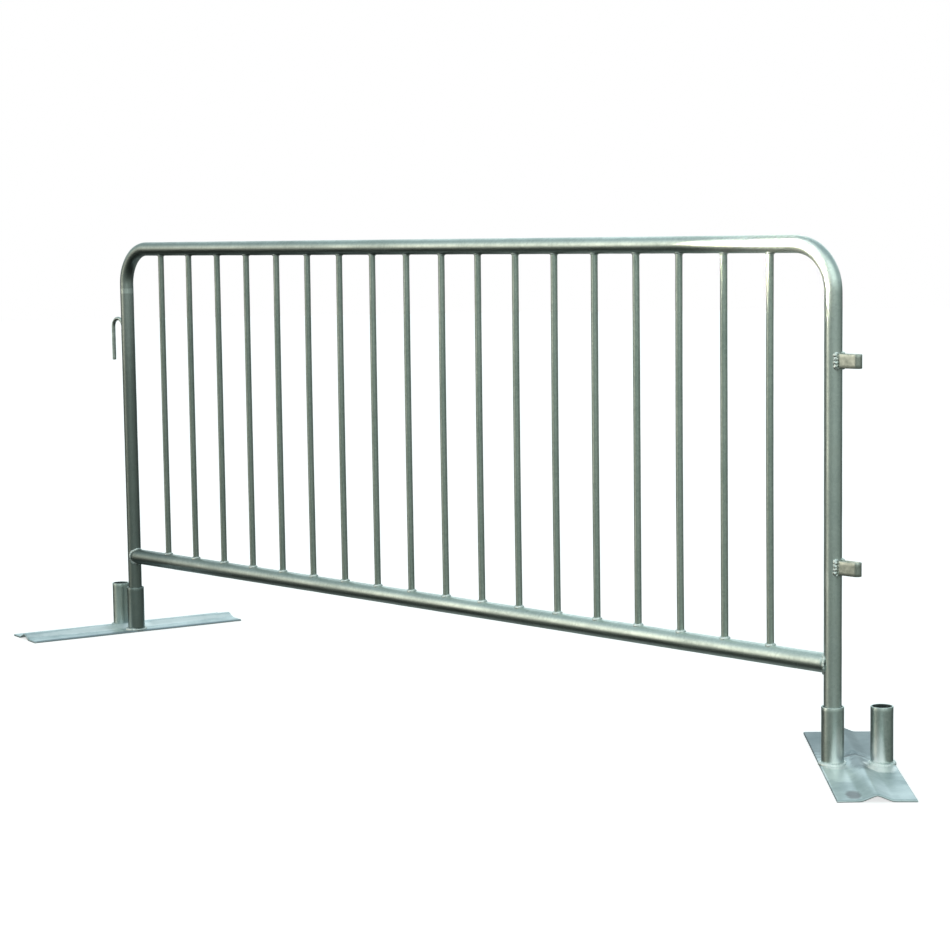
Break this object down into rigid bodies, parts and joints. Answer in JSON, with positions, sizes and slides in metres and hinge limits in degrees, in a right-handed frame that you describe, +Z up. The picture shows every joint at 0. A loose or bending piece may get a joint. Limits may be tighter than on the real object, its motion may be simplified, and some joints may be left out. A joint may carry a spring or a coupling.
{
  "type": "crowd control barrier",
  "caption": "Steel crowd barrier: bent tube frame with upright bars, latch hook and loops at its ends, and loose base plates with sockets that swivel under the posts.",
  "frame": {"origin": "the floor under the axis of the left post, on which the left base swivels", "axes": "+X from the left post along the barrier to the right post, +Y from the front to the back, +Z up"},
  "size_m": [3.0651, 0.6688, 1.124],
  "materials": {
    "galvanised_tube": "hot-dip galvanised steel tube, semi-gloss, softly mottled, with darker and brighter streaks along its length",
    "galvanised_bar": "hot-dip galvanised thin tube, greener and a little darker than the frame",
    "galvanised_rod": "hot-dip galvanised bent rod, worn bright at the tip",
    "galvanised_strap": "hot-dip galvanised flat strap, softly mottled",
    "galvanised_plate": "hot-dip galvanised folded plate, pale and dull, with soft blotches and scuffs",
    "galvanised_socket": "hot-dip galvanised thick tube, with zinc runs",
    "weld_zinc": "weld bead with a thick bright zinc coat, lumpy"
  },
  "bodies": {
    "frame": {"frame_tube": "galvanised_tube", "bottom_rail": "galvanised_tube", "latch_hook": "galvanised_rod", "upper_loop": "galvanised_strap", "lower_loop": "galvanised_strap", "infill_bar_01": "galvanised_bar", "infill_bar_02": "galvanised_bar", "infill_bar_03": "galvanised_bar", "infill_bar_04": "galvanised_bar", "infill_bar_05": "galvanised_bar", "infill_bar_06": "galvanised_bar", "infill_bar_07": "galvanised_bar", "infill_bar_08": "galvanised_bar", "infill_bar_09": "galvanised_bar", "infill_bar_10": "galvanised_bar", "infill_bar_11": "galvanised_bar", "infill_bar_12": "galvanised_bar", "infill_bar_13": "galvanised_bar", "infill_bar_14": "galvanised_bar", "infill_bar_15": "galvanised_bar", "infill_bar_16": "galvanised_bar", "infill_bar_17": "galvanised_bar", "infill_bar_18": "galvanised_bar", "rail_end_welds": "weld_zinc", "top_bar_welds": "weld_zinc", "bottom_bar_welds": "weld_zinc", "hook_welds": "weld_zinc", "loop_welds": "weld_zinc"},
    "left_base": {"left_base_plate": "galvanised_plate", "left_post_socket": "galvanised_socket", "left_spare_socket": "galvanised_socket", "left_socket_welds": "weld_zinc"},
    "right_base": {"right_base_plate": "galvanised_plate", "right_post_socket": "galvanised_socket", "right_spare_socket": "galvanised_socket", "right_socket_welds": "weld_zinc"}
  },
  "joints": [
    {"name": "left_base_swivel", "type": "hinge", "parent": "frame", "child": "left_base", "pos_m": [0, 0, 0.065], "axis": [0, 0, 1], "continuous": true},
    {"name": "right_base_swivel", "type": "hinge", "parent": "frame", "child": "right_base", "pos_m": [2.55, 0, 0.065], "axis": [0, 0, 1], "continuous": true}
  ]
}
